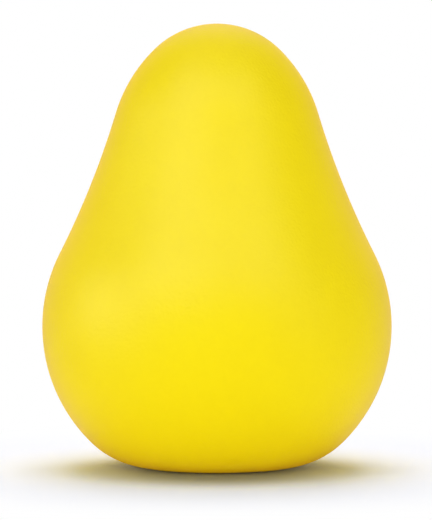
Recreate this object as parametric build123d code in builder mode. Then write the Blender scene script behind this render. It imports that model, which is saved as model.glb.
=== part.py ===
from build123d import *

import os
from dataclasses import dataclass
from math import asin, atan2, cos, degrees, radians, sin, sqrt

# Egg shaker, a small hand percussion instrument that stands on a flat foot.
#
# A hard rattle capsule of two welded plastic shells holds loose steel shot. A seamless soft sleeve
# is stretched over the capsule through a mouth in its foot, and a snap-in plug closes that mouth and
# clamps the sleeve's lip against the capsule. The whole egg is turned about Z: the origin is the
# centre of the foot, on the surface that the egg stands on, and +Z points at the crown.
#
# The egg's outline is a chain of six tangent arcs, named from the top down: crown, cheek, flank,
# belly, bilge and heel. The widest girth lies between belly and bilge. Every layer follows the same
# chain, moved inwards by a wall and its clearances.
#
# All sizes are in millimetres, and all angles in degrees.

# ---- Outline of the egg ----
egg_height = 60.0
belly_diameter = 47.4
belly_height = 19.0  # level of the widest girth
foot_ring = 2.1  # width of the flat that the egg stands on, round the plug
crown_curve = 12.1  # radius, as are the next three
cheek_curve = 20.2
flank_curve = 117.0  # the one arc that curves inwards
belly_curve = 22.0
crown_sweep = 44.0  # degrees of the crown's arc, down from the top
heel_sweep = 44.5  # degrees of the heel's arc, up from the foot

# ---- Soft sleeve ----
sleeve_wall = 1.5
sleeve_foot = 2.5  # thickness under the capsule
sleeve_clearance = 0.05  # between the sleeve and the capsule's curved side
lip_thickness = 1.2  # what the plug clamps at the mouth
mouth_round = 0.3  # round the mouth's outer edge

# ---- Capsule shells ----
shell_wall = 1.6
lap_height = 2.0  # overlap of the two shells at the belly
lap_thickness = 0.75  # the lower shell's share of the wall there
lap_clearance = 0.05
lap_lead_in = 0.25
boss_diameter = 8.8
boss_height = 6.5  # above the chamber's floor
boss_roof = 1.4
boss_round = 1.2

# ---- Foot plug ----
plug_diameter = 13.6
plug_recess = 0.3  # keeps the plug off the table
plug_clearance = 0.1
plug_edge = 0.25
neck_diameter = 10.0  # fills the sleeve's mouth and bears on the capsule
stem_diameter = 5.0
stem_clearance = 0.1
stem_end_gap = 0.5
bead_rise = 0.35  # snap bead near the stem's end
bead_from_end = 1.1
slot_width = 0.9  # cross slot that lets the stem close
slot_depth = 4.2
stem_lead_in = 0.3
gate_mark_diameter = 1.4
gate_mark_depth = 0.15

# ---- Steel shot ----
shot_diameter = 4.5
shot_gap = 0.1  # between neighbours at rest
shot_lift = 0.1  # between a shot and the wall it meets

# ---- Sizes that follow ----
belly_radius = belly_diameter / 2
plug_bottom = plug_recess
plug_top = sleeve_foot - lip_thickness
capsule_inset = sleeve_wall + sleeve_clearance
chamber_inset = capsule_inset + shell_wall
chamber_floor = sleeve_foot + shell_wall
lap_radius = belly_radius - chamber_inset + lap_thickness
boss_radius = boss_diameter / 2
plug_radius = plug_diameter / 2
foot_radius = plug_radius + plug_clearance + foot_ring
neck_radius = neck_diameter / 2
mouth_radius = neck_radius + plug_clearance
stem_radius = stem_diameter / 2
bore_radius = stem_radius + stem_clearance
bore_top = chamber_floor + boss_height - boss_roof
stem_top = bore_top - stem_end_gap
bead_level = stem_top - bead_from_end
shot_radius = shot_diameter / 2
shot_inset = chamber_inset + shot_radius + shot_lift
shot_pitch = shot_diameter + shot_gap


def heading(angle):
    """Unit vector in the half section, this many degrees round from straight up."""
    return Vector(sin(radians(angle)), cos(radians(angle)))


def angle_of(direction):
    """Degrees round from straight up of a direction in the half section."""
    return degrees(atan2(direction.X, direction.Y))


@dataclass(frozen=True)
class OutlineArc:
    """One arc of the half section. The radius is negative where the outline curves inwards, and the
    angles are those of its outward normal."""

    centre: Vector
    radius: float
    first: float
    last: float

    def point(self, angle, inset):
        """The outline's point at this normal, moved inwards by inset."""
        return self.centre + heading(angle) * (self.radius - inset)


def outline_arcs():
    """The arcs from the crown to the foot, each tangent to the next."""
    crown = Vector(0, egg_height - crown_curve)
    cheek = crown - heading(crown_sweep) * (cheek_curve - crown_curve)
    belly = Vector(belly_radius - belly_curve, belly_height)

    # The flank's centre lies outside the egg, one flank radius beyond both neighbours' arcs.
    to_cheek = flank_curve + cheek_curve
    to_belly = flank_curve + belly_curve
    between = belly - cheek
    along = (to_cheek**2 - to_belly**2 + between.length**2) / (2 * between.length)
    across = sqrt(to_cheek**2 - along**2)
    outwards = Vector(-between.Y, between.X).normalized()
    flank = cheek + between.normalized() * along + outwards * across
    cheek_end = angle_of(flank - cheek)
    flank_end = angle_of(flank - belly)

    # Bilge and heel share the overhang and the height between the foot's edge and the widest girth.
    overhang = belly_radius - foot_radius
    heel_start = 180 - heel_sweep
    turn = heading(heel_start)
    shares = 1 - turn.X + turn.Y
    bilge_curve = (overhang * (1 + turn.Y) - belly_height * turn.X) / shares
    heel_curve = (belly_height * (1 - turn.X) + overhang * turn.Y) / shares
    bilge = Vector(belly_radius - bilge_curve, belly_height)
    heel = Vector(foot_radius, heel_curve)

    return (
        OutlineArc(crown, crown_curve, 0, crown_sweep),
        OutlineArc(cheek, cheek_curve, crown_sweep, cheek_end),
        OutlineArc(flank, -flank_curve, cheek_end, flank_end),
        OutlineArc(belly, belly_curve, flank_end, 90),
        OutlineArc(bilge, bilge_curve, 90, heel_start),
        OutlineArc(heel, heel_curve, heel_start, 180),
    )


arcs = outline_arcs()


def wall_level(radius, inset, overhead):
    """Level of the outline, moved inwards by inset, at this distance from the axis: the wall overhead,
    or else the wall underfoot."""
    for arc in arcs:
        share = (radius - arc.centre.X) / (arc.radius - inset)
        if abs(share) > 1:
            continue
        angle = degrees(asin(share))
        angle = angle if overhead else 180 - angle
        if min(arc.first, arc.last) <= angle <= max(arc.first, arc.last):
            return arc.point(angle, inset).Y
    return inset


def egg_half(inset=0, floor=0):
    """Half of the egg's section, moved inwards by inset and cut off level at floor."""
    with BuildSketch(Plane.XZ) as half:
        with BuildLine():
            for arc in arcs:
                middle = (arc.first + arc.last) / 2
                ThreePointArc(*(arc.point(angle, inset) for angle in (arc.first, middle, arc.last)))
            heel_end = arcs[-1].point(180, inset)
            Polyline(heel_end, (0, heel_end.Y), arcs[0].point(0, inset))
        make_face()
        if floor > inset:
            Rectangle(belly_diameter, floor, align=(Align.MIN, Align.MIN), mode=Mode.SUBTRACT)
    return half.sketch


# ---- Layers, from the outside in ----
egg_outside = egg_half()
sleeve_inside = egg_half(sleeve_wall, sleeve_foot)
capsule_outside = egg_half(capsule_inset, sleeve_foot)
chamber = egg_half(chamber_inset, chamber_floor)


# ---- Soft sleeve: one seamless skin with a stepped mouth in its foot ----
with BuildPart() as soft_sleeve:
    revolve(egg_outside, axis=Axis.Z)
    revolve(sleeve_inside, axis=Axis.Z, mode=Mode.SUBTRACT)
    with Locations(-Plane.XY):
        CounterBoreHole(
            radius=mouth_radius,
            counter_bore_radius=plug_radius + plug_clearance,
            counter_bore_depth=plug_top,
            depth=sleeve_foot,
        )
    foot_edges = soft_sleeve.edges().group_by(Axis.Z)[0]
    fillet(foot_edges.sort_by(SortBy.LENGTH)[0], mouth_round)
soft_sleeve.part.label = "soft_sleeve"


# ---- Capsule shells: a lap joint at the belly, and a boss in the floor that takes the plug's stem ----
with BuildPart() as upper_shell:
    revolve(capsule_outside, axis=Axis.Z)
    revolve(chamber, axis=Axis.Z, mode=Mode.SUBTRACT)
    split(bisect_by=Plane.XY.offset(belly_height))
    with Locations((0, 0, belly_height)):
        Cylinder(
            lap_radius + lap_clearance,
            lap_height + lap_clearance,
            align=(Align.CENTER, Align.CENTER, Align.MIN),
            mode=Mode.SUBTRACT,
        )
    lap_edges = upper_shell.edges().group_by(Axis.Z)[0]
    chamfer(lap_edges.sort_by(SortBy.LENGTH)[0], lap_lead_in)
upper_shell.part.label = "upper_shell"

with BuildPart() as lower_shell:
    revolve(capsule_outside, axis=Axis.Z)
    revolve(chamber, axis=Axis.Z, mode=Mode.SUBTRACT)
    split(bisect_by=Plane.XY.offset(belly_height + lap_height), keep=Keep.BOTTOM)
    with BuildSketch(Plane.XY.offset(belly_height)):
        Circle(belly_radius)
        Circle(lap_radius, mode=Mode.SUBTRACT)
    extrude(amount=lap_height, mode=Mode.SUBTRACT)
    lap_edges = lower_shell.edges().group_by(Axis.Z)[-1]
    chamfer(lap_edges.sort_by(SortBy.LENGTH)[-1], lap_lead_in)

    with BuildSketch(Plane.XY.offset(chamber_floor)):
        Circle(boss_radius)
    extrude(amount=boss_height)
    fillet(lower_shell.edges(Select.LAST).group_by(Axis.Z)[-1], boss_round)
    with Locations(-Plane.XY.offset(sleeve_foot)):
        Hole(bore_radius, depth=bore_top - sleeve_foot)
    with Locations((0, 0, bead_level)):
        Torus(stem_radius, bead_rise + stem_clearance, mode=Mode.SUBTRACT)
lower_shell.part.label = "lower_shell"


# ---- Foot plug: a flange under the sleeve's lip, a neck through its mouth and a snap-in stem ----
with BuildPart() as foot_plug:
    for level, top, radius in (
        (plug_bottom, plug_top, plug_radius),
        (plug_top, sleeve_foot, neck_radius),
        (sleeve_foot, stem_top, stem_radius),
    ):
        with BuildSketch(Plane.XY.offset(level)):
            Circle(radius)
        extrude(amount=top - level)
    fillet(foot_plug.edges().group_by(Axis.Z)[0], plug_edge)
    chamfer(foot_plug.edges().group_by(Axis.Z)[-1], stem_lead_in)
    with Locations((0, 0, bead_level)):
        Torus(stem_radius, bead_rise)
    with Locations((0, 0, stem_top)):
        with PolarLocations(0, 2, angular_range=180):
            Box(
                plug_diameter,
                slot_width,
                slot_depth,
                align=(Align.CENTER, Align.CENTER, Align.MAX),
                mode=Mode.SUBTRACT,
            )
    with Locations(-Plane.XY.offset(plug_bottom)):
        Hole(gate_mark_diameter / 2, depth=gate_mark_depth)
foot_plug.part.label = "foot_plug"


# ---- Steel shot: one layer of balls at rest in two rings round the boss ----
def shot_places():
    """Ring radius, level and angle of each shot at rest. Prints how far each ring's shot can rise."""
    places = []
    inner_ring = boss_radius + shot_gap + shot_radius
    for ring in (inner_ring, inner_ring + shot_pitch):
        on_floor = chamber_floor + shot_radius + shot_lift
        rest = max(on_floor, wall_level(ring, shot_inset, overhead=False))
        rise = wall_level(ring, shot_inset, overhead=True) - rest
        count = int(180 / degrees(asin(shot_pitch / 2 / ring)))
        print(f"{count} shots, {ring:.2f} mm from the axis, can rise {rise:.2f} mm")
        places += [(ring, rest, place * 360 / count) for place in range(count)]
    return places


os.makedirs("parts", exist_ok=True)
for number, (ring, level, angle) in enumerate(shot_places(), start=1):
    with BuildPart(Plane.XY.offset(level)) as shot:
        with PolarLocations(ring, 1, start_angle=angle):
            Sphere(shot_radius)
    shot.part.label = f"shot_{number:02d}"
    export_step(shot.part, f"parts/{shot.part.label}.step")

export_step(soft_sleeve.part, "parts/soft_sleeve.step")
export_step(upper_shell.part, "parts/upper_shell.step")
export_step(lower_shell.part, "parts/lower_shell.step")
export_step(foot_plug.part, "parts/foot_plug.step")
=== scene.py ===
"""Looks of an egg shaker: a soft yellow sleeve over a hard rattle capsule that holds loose steel shot.

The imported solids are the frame. The sleeve is a soft part, so it is modelled here as a mesh of its own.
The plug, the capsule's shells and the shot are hard parts: they keep their solids and get their finishes.
Lengths are in metres and angles in degrees, unless a name says otherwise.
"""

import logging
import math
from abc import ABC, abstractmethod
from collections.abc import Iterable, Mapping
from dataclasses import dataclass
from enum import Enum
from typing import Any

import bmesh
import bpy
from mathutils import Matrix, Vector

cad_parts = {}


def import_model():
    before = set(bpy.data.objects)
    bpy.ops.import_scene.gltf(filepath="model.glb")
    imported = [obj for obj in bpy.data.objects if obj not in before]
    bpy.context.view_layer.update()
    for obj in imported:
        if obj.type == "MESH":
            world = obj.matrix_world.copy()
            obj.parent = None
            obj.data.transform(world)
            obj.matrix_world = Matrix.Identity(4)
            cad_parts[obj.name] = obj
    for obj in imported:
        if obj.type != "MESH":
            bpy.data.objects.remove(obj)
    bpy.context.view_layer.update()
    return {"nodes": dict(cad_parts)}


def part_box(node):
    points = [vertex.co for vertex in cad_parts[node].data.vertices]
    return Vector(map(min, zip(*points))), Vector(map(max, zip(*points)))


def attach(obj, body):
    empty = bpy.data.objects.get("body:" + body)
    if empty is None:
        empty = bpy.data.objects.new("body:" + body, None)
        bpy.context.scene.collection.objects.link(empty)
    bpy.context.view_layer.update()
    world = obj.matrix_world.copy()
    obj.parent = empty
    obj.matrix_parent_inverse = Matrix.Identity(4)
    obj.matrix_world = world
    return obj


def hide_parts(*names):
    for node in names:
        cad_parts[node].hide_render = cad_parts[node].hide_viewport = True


log = logging.getLogger("egg_shaker")

MM = 0.001
SHARP_CORNER = 35.0  # degrees: a mesh edge that turns by more than this stays sharp
MERGE_GAP = 0.001 * MM  # points of a turned surface that are closer than this are one point
GIRTH_HEADING = 90.0  # degrees from straight up: the way the egg's outside faces at its widest girth
FOOT_HEADING = 180.0  # degrees from straight up: the way it faces at its foot
WHITE = (1.0, 1.0, 1.0, 1.0)


# ---------------------------------------------------------------- helpers


def linear(hex_colour: str) -> tuple[float, float, float, float]:
    """Turns an sRGB hex colour, such as "#f7e60e", into linear red, green, blue and alpha."""

    def channel(text: str) -> float:
        """One two-digit channel as a linear value from 0 to 1."""
        value = int(text, 16) / 255
        return value / 12.92 if value <= 0.04045 else ((value + 0.055) / 1.055) ** 2.4

    digits = hex_colour.lstrip("#")
    red, green, blue = (channel(digits[start : start + 2]) for start in (0, 2, 4))
    return red, green, blue, 1.0


def add_node(tree: bpy.types.NodeTree, kind: str, inputs: Mapping[Any, Any], **settings: Any) -> Any:
    """Adds a node with its settings, values and links.

    Args:
        tree: The node tree that takes the node.
        kind: The node's type, such as "ShaderNodeMix".
        inputs: Input socket names or numbers, each with a value or with the output socket to link.
        **settings: Properties of the node itself.

    Returns:
        The new node.
    """
    node = tree.nodes.new(kind)
    for name, value in settings.items():
        setattr(node, name, value)
    for key, value in inputs.items():
        if isinstance(value, bpy.types.NodeSocket):
            tree.links.new(value, node.inputs[key])
        else:
            node.inputs[key].default_value = value
    return node


def new_tree(owner: bpy.types.Material | bpy.types.World) -> bpy.types.NodeTree:
    """Turns nodes on for a material or world, and returns its emptied tree."""
    owner.use_nodes = True
    owner.node_tree.nodes.clear()
    return owner.node_tree


def as_object(name: str, bm: bmesh.types.BMesh) -> bpy.types.Object:
    """Makes an object at the origin from a bmesh, smooth but for its sharp corners, and frees the bmesh."""
    mesh = bpy.data.meshes.new(name)
    bm.to_mesh(mesh)
    bm.free()
    mesh.shade_smooth()
    mesh.set_sharp_from_angle(angle=math.radians(SHARP_CORNER))
    piece = bpy.data.objects.new(name, mesh)
    bpy.context.scene.collection.objects.link(piece)
    return piece


def heading(angle: float) -> Vector:
    """Unit vector in the half section, this many degrees round from straight up towards +X."""
    return Vector((math.sin(math.radians(angle)), 0, math.cos(math.radians(angle))))


def angle_of(direction: Vector) -> float:
    """Degrees round from straight up of a direction in the half section."""
    return math.degrees(math.atan2(direction.x, direction.z))


# ---------------------------------------------------------------- finishes


class MouldTexture(Enum):
    """How a mould's walls were finished, as the grain's spacing and depth.

    Real grain is about 0.1 mm apart and 0.02 mm deep. It is drawn coarser, so that it shows.
    """

    BEAD_BLASTED = (0.40 * MM, 0.05 * MM)
    SPARK_ERODED = (0.35 * MM, 0.04 * MM)

    @property
    def spacing(self) -> float:
        """Distance from one grain to the next."""
        return self.value[0]

    @property
    def depth(self) -> float:
        """Height from the bottom of a grain's pit to its top."""
        return self.value[1]


class Mottle:
    """An uneven pattern of blotches or grains that lies still on its piece.

    Most values of a noise lie between the two in COMMON_VALUES, so those are stretched to its two ends.
    """

    COMMON_VALUES = (0.3, 0.7)

    def __init__(self, tree: bpy.types.NodeTree, spacing: float, detail: float = 2.0) -> None:
        """Adds the pattern to a material.

        Args:
            tree: The material's node tree.
            spacing: Distance from one blotch or grain to the next.
            detail: How many finer layers the pattern has.
        """
        self.tree = tree
        place = add_node(tree, "ShaderNodeTexCoord", {}).outputs["Object"]
        settings = {"Vector": place, "Scale": 1 / spacing, "Detail": detail}
        self.value = add_node(tree, "ShaderNodeTexNoise", settings).outputs["Fac"]

    def between(self, low: float, high: float) -> bpy.types.NodeSocket:
        """A value that wanders from low to high with the pattern."""
        least, most = self.COMMON_VALUES
        limits = {"Value": self.value, "From Min": least, "From Max": most, "To Min": low, "To Max": high}
        return add_node(self.tree, "ShaderNodeMapRange", limits).outputs["Result"]

    def colours(self, first: str, second: str) -> bpy.types.NodeSocket:
        """A colour that wanders from one sRGB hex colour to another with the pattern."""
        mixed = add_node(
            self.tree,
            "ShaderNodeMix",
            {"Factor": self.between(0, 1), "A": linear(first), "B": linear(second)},
            data_type="RGBA",
        )
        return mixed.outputs["Result"]

    def relief(self, depth: float) -> bpy.types.NodeSocket:
        """A surface that rises and falls with the pattern, as deep as this, as its normal."""
        bump = add_node(self.tree, "ShaderNodeBump", {"Distance": depth, "Height": self.value})
        return bump.outputs["Normal"]


class Finish(ABC):
    """What a piece is made of, and how its surface was made."""

    name: str

    @abstractmethod
    def shading(self, tree: bpy.types.NodeTree) -> dict[str, Any]:
        """Adds the finish's patterns to the tree, and returns the values and links of its shader."""

    def material(self) -> bpy.types.Material:
        """Builds the material."""
        material = bpy.data.materials.new(self.name)
        tree = new_tree(material)
        shader = add_node(tree, "ShaderNodeBsdfPrincipled", self.shading(tree))
        add_node(tree, "ShaderNodeOutputMaterial", {"Surface": shader.outputs["BSDF"]})
        return material


@dataclass(frozen=True)
class MouldedSilicone(Finish):
    """Silicone rubber, compression moulded in a bead-blasted mould and coloured right through.

    It gives a soft, even, matte yellow with a broad pale veil where it faces the lamps. Light spreads a
    little way inside it, so its shaded edges turn golden instead of olive. A warm sheen stands for that.
    """

    name: str = "moulded_silicone"
    colour: str = "#f9e306"
    cloud_colour: str = "#f8e105"
    cloud_spacing: float = 9 * MM
    roughness: float = 0.45
    unevenness: float = 0.02
    gloss: float = 0.14
    ior: float = 1.41
    sheen: float = 0.25
    sheen_colour: str = "#ff7000"
    sheen_roughness: float = 0.55
    texture: MouldTexture = MouldTexture.BEAD_BLASTED

    def shading(self, tree: bpy.types.NodeTree) -> dict[str, Any]:
        """Faint colour clouds, uneven matteness and a fine grain."""
        clouds = Mottle(tree, self.cloud_spacing)
        grain = Mottle(tree, self.texture.spacing)
        return {
            "Base Color": clouds.colours(self.colour, self.cloud_colour),
            "Roughness": clouds.between(self.roughness - self.unevenness, self.roughness + self.unevenness),
            "IOR": self.ior,
            "Specular IOR Level": self.gloss,
            "Sheen Weight": self.sheen,
            "Sheen Tint": linear(self.sheen_colour),
            "Sheen Roughness": self.sheen_roughness,
            "Normal": grain.relief(self.texture.depth),
        }


@dataclass(frozen=True)
class MouldedPlastic(Finish):
    """Injection-moulded ABS or polypropylene from a spark-eroded mould.

    It gives an even body colour with a satin shine that the fine sandy grain breaks up.
    """

    name: str
    colour: str
    flow_colour: str
    roughness: float
    ior: float
    unevenness: float = 0.06
    flow_spacing: float = 5 * MM
    texture: MouldTexture = MouldTexture.SPARK_ERODED

    def shading(self, tree: bpy.types.NodeTree) -> dict[str, Any]:
        """Faint flow marks, satin shine and a sandy grain."""
        flow = Mottle(tree, self.flow_spacing, detail=1.0)
        grain = Mottle(tree, self.texture.spacing)
        return {
            "Base Color": flow.colours(self.colour, self.flow_colour),
            "Roughness": grain.between(self.roughness - self.unevenness, self.roughness + self.unevenness),
            "IOR": self.ior,
            "Normal": grain.relief(self.texture.depth),
        }


@dataclass(frozen=True)
class TumbledSteel(Finish):
    """Carbon steel balls, cold headed, ground and tumbled.

    It gives a bright metal whose reflections are blurred by fine scratches that run every way. The scuffed
    patches are drawn coarser than real scratches, so that they show.
    """

    name: str = "tumbled_steel"
    colour: str = "#c9c8c6"
    scratched_colour: str = "#a9a8a7"
    roughness: float = 0.18
    scratched_roughness: float = 0.36
    scratch_spacing: float = 0.4 * MM
    scratch_depth: float = 0.002 * MM
    scratch_layers: float = 6.0

    def shading(self, tree: bpy.types.NodeTree) -> dict[str, Any]:
        """A metal with scuffed patches."""
        scuffs = Mottle(tree, self.scratch_spacing, detail=self.scratch_layers)
        return {
            "Base Color": scuffs.colours(self.colour, self.scratched_colour),
            "Metallic": 1.0,
            "Roughness": scuffs.between(self.roughness, self.scratched_roughness),
            "Normal": scuffs.relief(self.scratch_depth),
        }


def coat(pieces: Iterable[bpy.types.Object], material: bpy.types.Material) -> None:
    """Gives pieces one material, in place of any that they have."""
    for piece in pieces:
        piece.data.materials.clear()
        piece.data.materials.append(material)


# ---------------------------------------------------------------- the egg's outline


@dataclass(frozen=True)
class OutlineArc:
    """One arc of the half section. Its radius is negative where the outline curves inwards.

    Attributes:
        centre: The arc's centre, in the XZ plane.
        radius: The arc's radius on the egg's outside.
        first: Heading of the outward normal at the arc's upper end.
        last: Heading of the outward normal at its lower end.
    """

    centre: Vector
    radius: float
    first: float
    last: float

    def point(self, angle: float, inset: float) -> Vector:
        """The outline's point with its normal at this heading, moved inwards by inset."""
        return self.centre + heading(angle) * (self.radius - inset)


@dataclass(frozen=True)
class EggOutline:
    """The egg's outside in half section: a chain of tangent arcs from the crown to the foot.

    Attributes:
        height: From the foot to the top.
        belly_radius: From the axis to the widest girth.
        belly_height: From the foot to the widest girth.
        foot_radius: From the axis to the edge of the flat foot.
        crown_curve: Radius of the top.
        cheek_curve: Radius below the top.
        flank_curve: Radius of the slightly hollow side.
        belly_curve: Radius above the widest girth.
        crown_sweep: Degrees that the top's arc turns.
        heel_sweep: Degrees that the arc next to the foot turns.
    """

    height: float
    belly_radius: float
    belly_height: float = 19.0 * MM
    foot_radius: float = 9.0 * MM
    crown_curve: float = 12.1 * MM
    cheek_curve: float = 20.2 * MM
    flank_curve: float = 117.0 * MM
    belly_curve: float = 22.0 * MM
    crown_sweep: float = 44.0
    heel_sweep: float = 44.5

    def arcs(self) -> list[OutlineArc]:
        """The arcs from the top down: crown, cheek, flank, belly, bilge and heel."""
        crown = Vector((0, 0, self.height - self.crown_curve))
        cheek = crown - heading(self.crown_sweep) * (self.cheek_curve - self.crown_curve)
        belly = Vector((self.belly_radius - self.belly_curve, 0, self.belly_height))
        flank = self.flank_centre(cheek, belly)
        cheek_end = angle_of(flank - cheek)
        flank_end = angle_of(flank - belly)

        # Bilge and heel share the way from the foot's edge out and up to the widest girth.
        overhang = self.belly_radius - self.foot_radius
        heel_start = FOOT_HEADING - self.heel_sweep
        turn = heading(heel_start)
        shares = 1 - turn.x + turn.z
        bilge_curve = (overhang * (1 + turn.z) - self.belly_height * turn.x) / shares
        heel_curve = (self.belly_height * (1 - turn.x) + overhang * turn.z) / shares
        bilge = Vector((self.belly_radius - bilge_curve, 0, self.belly_height))
        heel = Vector((self.foot_radius, 0, heel_curve))
        return [
            OutlineArc(crown, self.crown_curve, 0, self.crown_sweep),
            OutlineArc(cheek, self.cheek_curve, self.crown_sweep, cheek_end),
            OutlineArc(flank, -self.flank_curve, cheek_end, flank_end),
            OutlineArc(belly, self.belly_curve, flank_end, GIRTH_HEADING),
            OutlineArc(bilge, bilge_curve, GIRTH_HEADING, heel_start),
            OutlineArc(heel, heel_curve, heel_start, FOOT_HEADING),
        ]

    def flank_centre(self, cheek: Vector, belly: Vector) -> Vector:
        """Centre of the hollow flank, outside the egg, from the centres of its two neighbours."""
        to_cheek = self.flank_curve + self.cheek_curve
        to_belly = self.flank_curve + self.belly_curve
        between = belly - cheek
        along = (to_cheek**2 - to_belly**2 + between.length_squared) / (2 * between.length)
        across = math.sqrt(to_cheek**2 - along**2)
        direction = between.normalized()
        outwards = Vector((-direction.z, 0, direction.x))
        return cheek + direction * along + outwards * across


class ProfilePen:
    """Draws a half section in the XZ plane by spinning and extruding the last vertex of a bmesh."""

    def __init__(self, start: Vector, step: float) -> None:
        """Sets the pen down.

        Args:
            start: The first point.
            step: Longest step along the section.
        """
        self.bm = bmesh.new()
        self.step = step
        self.tip = self.bm.verts.new(start)

    def arc(self, centre: Vector, sweep: float) -> None:
        """Draws an arc round a centre.

        Args:
            centre: The arc's centre.
            sweep: Degrees to turn, positive from +Z towards +X.
        """
        turned = Matrix.Rotation(math.radians(sweep), 3, "Y")
        end = centre + turned @ (self.tip.co - centre)
        length = (self.tip.co - centre).length * math.radians(abs(sweep))
        spun = bmesh.ops.spin(
            self.bm,
            geom=[self.tip],
            cent=centre,
            axis=(0, 1, 0),
            angle=math.radians(sweep),
            steps=max(2, math.ceil(length / self.step)),
        )
        self.tip = spun["geom_last"][0]
        self.tip.co = end

    def line(self, end: Vector) -> None:
        """Draws a straight line to a point."""
        way = end - self.tip.co
        steps = max(1, math.ceil(way.length / self.step))
        for _ in range(steps):
            self.tip = bmesh.ops.extrude_vert_indiv(self.bm, verts=[self.tip])["verts"][0]
            bmesh.ops.translate(self.bm, verts=[self.tip], vec=way / steps)

    def turn(self, segments: int) -> bmesh.types.BMesh:
        """Turns the section once round the Z axis and closes the surface.

        Args:
            segments: Number of faces round the axis.

        Returns:
            The closed surface, with its normals outwards.
        """
        bmesh.ops.spin(
            self.bm,
            geom=self.bm.verts[:] + self.bm.edges[:],
            cent=(0, 0, 0),
            axis=(0, 0, 1),
            angle=math.tau,
            steps=segments,
            use_merge=True,
        )
        bmesh.ops.remove_doubles(self.bm, verts=self.bm.verts[:], dist=MERGE_GAP)
        bmesh.ops.recalc_face_normals(self.bm, faces=self.bm.faces[:])
        return self.bm


# ---------------------------------------------------------------- the shaker's sub-assemblies


@dataclass
class SoftSleeve:
    """The seamless silicone skin, with a stepped mouth in its foot.

    Attributes:
        outline: The egg's outside.
        wall: Thickness of the curved skin.
        foot: Thickness under the capsule.
        lip: Thickness of the inner step, which the plug clamps.
        seat_radius: Wall of the outer step, round the plug's flange.
        mouth_radius: Wall of the inner step, round the plug's neck.
        mouth_round: Radius of the mouth's outer edge.
        finish: What it is made of.
        segments: Faces round the axis.
        mesh_step: Longest face along the section.
    """

    outline: EggOutline
    wall: float = 1.5 * MM
    foot: float = 2.5 * MM
    lip: float = 1.2 * MM
    seat_radius: float = 6.9 * MM
    mouth_radius: float = 5.1 * MM
    mouth_round: float = 0.3 * MM
    finish: MouldedSilicone = MouldedSilicone()
    segments: int = 144
    mesh_step: float = 0.7 * MM

    def build(self) -> bpy.types.Object:
        """Models the skin: down the outside, through the mouth and up the inside, turned about Z."""
        arcs = self.outline.arcs()
        pen = ProfilePen(arcs[0].point(0, inset=0), self.mesh_step)
        for arc in arcs:
            pen.arc(arc.centre, arc.last - arc.first)
        self.draw_mouth(pen)
        heel = arcs[-1]
        floor_angle = self.floor_angle(heel)
        pen.line(heel.point(floor_angle, self.wall))
        pen.arc(heel.centre, heel.first - floor_angle)
        for arc in reversed(arcs[:-1]):
            pen.arc(arc.centre, arc.first - arc.last)
        sleeve = as_object("sleeve_skin", pen.turn(self.segments))
        coat([sleeve], self.finish.material())
        return sleeve

    def draw_mouth(self, pen: ProfilePen) -> None:
        """Draws the foot's flat ring and the stepped mouth, from the heel to the sleeve's floor."""
        step_level = self.foot - self.lip
        edge = self.seat_radius + self.mouth_round
        pen.line(Vector((edge, 0, 0)))
        pen.arc(Vector((edge, 0, self.mouth_round)), sweep=90)
        pen.line(Vector((self.seat_radius, 0, step_level)))
        pen.line(Vector((self.mouth_radius, 0, step_level)))
        pen.line(Vector((self.mouth_radius, 0, self.foot)))

    def floor_angle(self, heel: OutlineArc) -> float:
        """Heading at which the heel's inside meets the sleeve's level floor."""
        drop = (self.foot - heel.centre.z) / (heel.radius - self.wall)
        return math.degrees(math.acos(drop))


@dataclass
class FootPlug:
    """The snap-in plug that closes the sleeve's mouth."""

    finish: MouldedPlastic = MouldedPlastic("moulded_polypropylene", "#eedc1c", "#ead717", 0.42, 1.49)

    def dress(self, nodes: Mapping[str, bpy.types.Object]) -> list[bpy.types.Object]:
        """Gives the plug its finish, and returns it in a list."""
        plug = [nodes["foot_plug"]]
        coat(plug, self.finish.material())
        return plug


@dataclass
class RattleCapsule:
    """The two hard shells that hold the shot."""

    finish: MouldedPlastic = MouldedPlastic("moulded_abs", "#eeebe0", "#e9e5d8", 0.38, 1.54)

    def dress(self, nodes: Mapping[str, bpy.types.Object]) -> list[bpy.types.Object]:
        """Gives both shells their finish, and returns them."""
        shells = [nodes["upper_shell"], nodes["lower_shell"]]
        coat(shells, self.finish.material())
        return shells


@dataclass
class ShotCharge:
    """The loose steel balls."""

    finish: TumbledSteel = TumbledSteel()

    def dress(self, nodes: Mapping[str, bpy.types.Object]) -> list[bpy.types.Object]:
        """Gives every ball its finish, and returns the balls."""
        balls = [piece for name, piece in nodes.items() if name.startswith("shot_")]
        coat(balls, self.finish.material())
        return balls


# ---------------------------------------------------------------- the studio


@dataclass(frozen=True)
class SoftLamp:
    """A square soft box that faces the egg's middle.

    Attributes:
        name: The lamp's name.
        energy: Its power in watts.
        size: Its width and height.
        place: Its middle, in metres.
        seen_by_gloss: Whether it shows in a surface's gloss.
        seen_by_matte: Whether it lights a surface's own colour.
    """

    name: str
    energy: float
    size: float
    place: tuple[float, float, float]
    seen_by_gloss: bool = True
    seen_by_matte: bool = True

    def hang(self, target: Vector) -> None:
        """Hangs the lamp so that it faces the target."""
        lamp = bpy.data.lights.new(self.name, "AREA")
        lamp.shape = "SQUARE"
        lamp.size = self.size
        lamp.energy = self.energy
        rig = bpy.data.objects.new(self.name, lamp)
        rig.location = self.place
        rig.rotation_euler = (target - rig.location).to_track_quat("-Z", "Y").to_euler()
        rig.visible_glossy = self.seen_by_gloss
        rig.visible_diffuse = self.seen_by_matte
        bpy.context.scene.collection.objects.link(rig)


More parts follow.
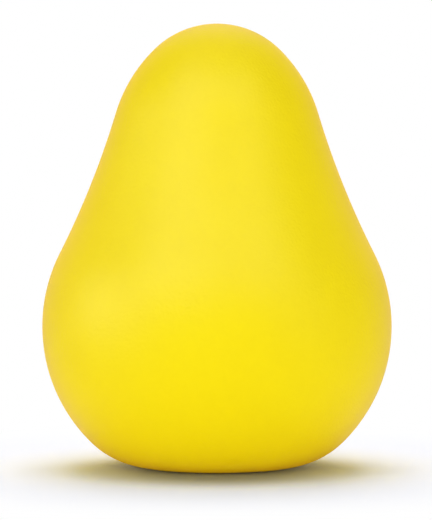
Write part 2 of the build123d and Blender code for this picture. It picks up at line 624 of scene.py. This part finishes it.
# The first five light and shade the egg's own colour. The other three show only as a pale veil in its gloss.
STUDIO_LAMPS: tuple[SoftLamp, ...] = (
    SoftLamp("overhead_lamp", 0.88, 0.4, (0.0, 0.0, 0.55), seen_by_gloss=False),
    SoftLamp("back_lamp", 1.75, 0.4, (0.0, 0.40, 0.45), seen_by_gloss=False),
    SoftLamp("front_fill", 1.32, 0.1, (0.0, -0.60, 0.03), seen_by_gloss=False),
    SoftLamp("left_fill", 0.96, 0.3, (-0.48, -0.28, 0.10), seen_by_gloss=False),
    SoftLamp("right_fill", 0.82, 0.3, (0.48, -0.28, 0.10), seen_by_gloss=False),
    SoftLamp("key_sheen", 6.2, 0.5, (-0.24, -0.36, 0.42), seen_by_matte=False),
    SoftLamp("right_sheen", 3.0, 0.4, (0.24, -0.36, 0.44), seen_by_matte=False),
    SoftLamp("left_sheen", 3.2, 0.4, (-0.55, -0.10, 0.10), seen_by_matte=False),
)


@dataclass
class Studio:
    """A white table in a pale room, with soft lamps, and the camera.

    Attributes:
        low: The egg's lowest corner.
        high: The egg's highest corner.
        distance: From the egg's middle to the camera.
        elevation: Degrees that the camera stands above the egg's middle.
        aim_side: How far the camera stands to the right of the egg's axis.
        aim_height: Level that the camera looks at.
        lens_mm: The camera's focal length, for a sensor 36 mm high.
        floor_size: Width of the table.
        floor_colour: The table's own colour.
        floor_shown: How strongly the table shows its red, green and blue light to whoever looks at it. It
            is over 1, so that the table reads as white, and blue most, against the egg's yellow glow on it.
        painted_shadow_middle: Middle of the shadow that is painted into the table's shown colour round the
            foot.
            It is in front of the egg's axis, because most of the table's light comes from behind and above.
        painted_shadow_reach: Distances from that middle between which the painted shadow fades out.
        painted_shadow_share: Share of its light that the table shows in the middle of the painted shadow.
        shadow_reach: Distances from the egg's axis between which the table fades to plain white.
        ambient: Strength of the room's light.
    """

    low: Vector
    high: Vector
    distance: float = 418.2 * MM
    elevation: float = 1.8
    aim_side: float = -0.13 * MM
    aim_height: float = 27.99 * MM
    lens_mm: float = 213.4
    floor_size: float = 4.0
    floor_colour: str = "#fcfcfc"
    floor_shown: tuple[float, float, float] = (1.03, 1.06, 1.24)
    # The next three values place and deepen a shadow painted into the table's shown colour.
    painted_shadow_middle: tuple[float, float, float] = (0.0, -10 * MM, 0.0)
    painted_shadow_reach: tuple[float, float] = (5 * MM, 22 * MM)
    painted_shadow_share: float = 0.35
    shadow_reach: tuple[float, float] = (22 * MM, 60 * MM)
    ambient: float = 0.2

    def build(self) -> None:
        """Sets up the floor, the light and the camera."""
        self.add_floor()
        self.add_world()
        middle = Vector((0, 0, (self.low.z + self.high.z) / 2))
        for lamp in STUDIO_LAMPS:
            lamp.hang(middle)
        self.add_camera()
        bpy.context.scene.view_settings.view_transform = "Standard"

    def seen(self, tree: bpy.types.NodeTree) -> bpy.types.NodeSocket:
        """Adds a mask that is 1 for rays that show the backdrop: from the camera, or by gloss or glass."""
        path = add_node(tree, "ShaderNodeLightPath", {}).outputs
        looked_at = add_node(
            tree,
            "ShaderNodeMath",
            {0: path["Is Camera Ray"], 1: path["Is Glossy Ray"]},
            operation="MAXIMUM",
        ).outputs[0]
        return add_node(
            tree, "ShaderNodeMath", {0: looked_at, 1: path["Is Transmission Ray"]}, operation="MAXIMUM"
        ).outputs[0]

    def add_floor(self) -> None:
        """Lays a white table under the egg."""
        bm = bmesh.new()
        lowest = Matrix.Translation((0, 0, self.low.z))
        bmesh.ops.create_grid(bm, x_segments=1, y_segments=1, size=self.floor_size / 2, matrix=lowest)
        floor = as_object("floor", bm)
        coat([floor], self.table_material())

    def table_material(self) -> bpy.types.Material:
        """Builds a white finish: the egg's shadow, painted shade round the foot, plain white further out."""
        material = bpy.data.materials.new("white_table")
        tree = new_tree(material)
        seen = self.seen(tree)
        place = add_node(tree, "ShaderNodeTexCoord", {}).outputs["Object"]
        # The shown colour is darkened round the foot: a painted contact shadow.
        shown = add_node(
            tree,
            "ShaderNodeVectorMath",
            {0: self.floor_shown, "Scale": self.painted_contact_shadow(tree, place)},
            operation="SCALE",
        )
        colour = add_node(
            tree,
            "ShaderNodeMix",
            {"Factor": seen, "A": linear(self.floor_colour), "B": shown.outputs["Vector"]},
            data_type="RGBA",
        )
        lit = add_node(tree, "ShaderNodeBsdfDiffuse", {"Color": colour.outputs["Result"]})
        white = add_node(tree, "ShaderNodeEmission", {"Color": WHITE, "Strength": 1.0})
        reach = add_node(tree, "ShaderNodeVectorMath", {0: place}, operation="LENGTH").outputs["Value"]
        near, far = self.shadow_reach
        limits = {"Value": reach, "From Min": near, "From Max": far}
        fade = add_node(tree, "ShaderNodeMapRange", limits, interpolation_type="SMOOTHSTEP")
        faded = add_node(
            tree, "ShaderNodeMath", {0: fade.outputs["Result"], 1: seen}, operation="MULTIPLY"
        ).outputs[0]
        mixed = add_node(
            tree, "ShaderNodeMixShader", {0: faded, 1: lit.outputs["BSDF"], 2: white.outputs["Emission"]}
        )
        add_node(tree, "ShaderNodeOutputMaterial", {"Surface": mixed.outputs["Shader"]})
        return material

    def painted_contact_shadow(self, tree: bpy.types.NodeTree, place: bpy.types.NodeSocket) -> bpy.types.NodeSocket:
        """Paints a darker shadow into the table's shown colour round the foot, where the egg's bright
        underside throws too much light into the real one.

        Args:
            tree: The table's node tree.
            place: The point on the table.

        Returns:
            The share of its light that the table shows there, lowered round the foot as painted shadow.
        """
        offset = add_node(
            tree, "ShaderNodeVectorMath", {0: place, 1: self.painted_shadow_middle}, operation="DISTANCE"
        ).outputs["Value"]
        near, far = self.painted_shadow_reach
        limits = {"Value": offset, "From Min": near, "From Max": far, "To Min": self.painted_shadow_share}
        return add_node(
            tree, "ShaderNodeMapRange", limits, interpolation_type="SMOOTHSTEP"
        ).outputs["Result"]

    def add_world(self) -> None:
        """Surrounds the egg with even light and a white backdrop."""
        world = bpy.data.worlds.new("pale_room")
        bpy.context.scene.world = world
        tree = new_tree(world)
        strength = add_node(tree, "ShaderNodeMix", {"Factor": self.seen(tree), "A": self.ambient, "B": 1.0})
        background = add_node(
            tree, "ShaderNodeBackground", {"Color": WHITE, "Strength": strength.outputs["Result"]}
        )
        add_node(tree, "ShaderNodeOutputWorld", {"Surface": background.outputs["Background"]})

    def add_camera(self) -> None:
        """Sets the camera in front of the egg, a little above its middle."""
        middle = Vector((self.aim_side, 0, (self.low.z + self.high.z) / 2))
        tilt = math.radians(self.elevation)
        camera = bpy.data.objects.new("camera", bpy.data.cameras.new("camera"))
        camera.data.lens = self.lens_mm
        camera.location = middle + Vector((0, -math.cos(tilt), math.sin(tilt))) * self.distance
        aim = Vector((self.aim_side, 0, self.aim_height)) - camera.location
        camera.rotation_euler = aim.to_track_quat("-Z", "Y").to_euler()
        bpy.context.scene.collection.objects.link(camera)
        bpy.context.scene.camera = camera


# ---------------------------------------------------------------- the whole shaker


def main() -> None:
    """Builds the looks of every sub-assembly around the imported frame."""
    logging.basicConfig(level=logging.INFO, format="%(name)s: %(message)s")
    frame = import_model()
    nodes = frame["nodes"]

    low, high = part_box("soft_sleeve")
    Studio(low, high).build()
    outline = EggOutline(height=high.z - low.z, belly_radius=min(high.x, -low.x))
    sleeve = SoftSleeve(outline).build()
    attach(sleeve, "egg")
    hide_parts("soft_sleeve")

    pieces = [sleeve, *FootPlug().dress(nodes), *RattleCapsule().dress(nodes), *ShotCharge().dress(nodes)]
    for piece in pieces:
        log.info("%s: %s, %d faces", piece.name, piece.active_material.name, len(piece.data.polygons))


if __name__ == "__main__":
    main()
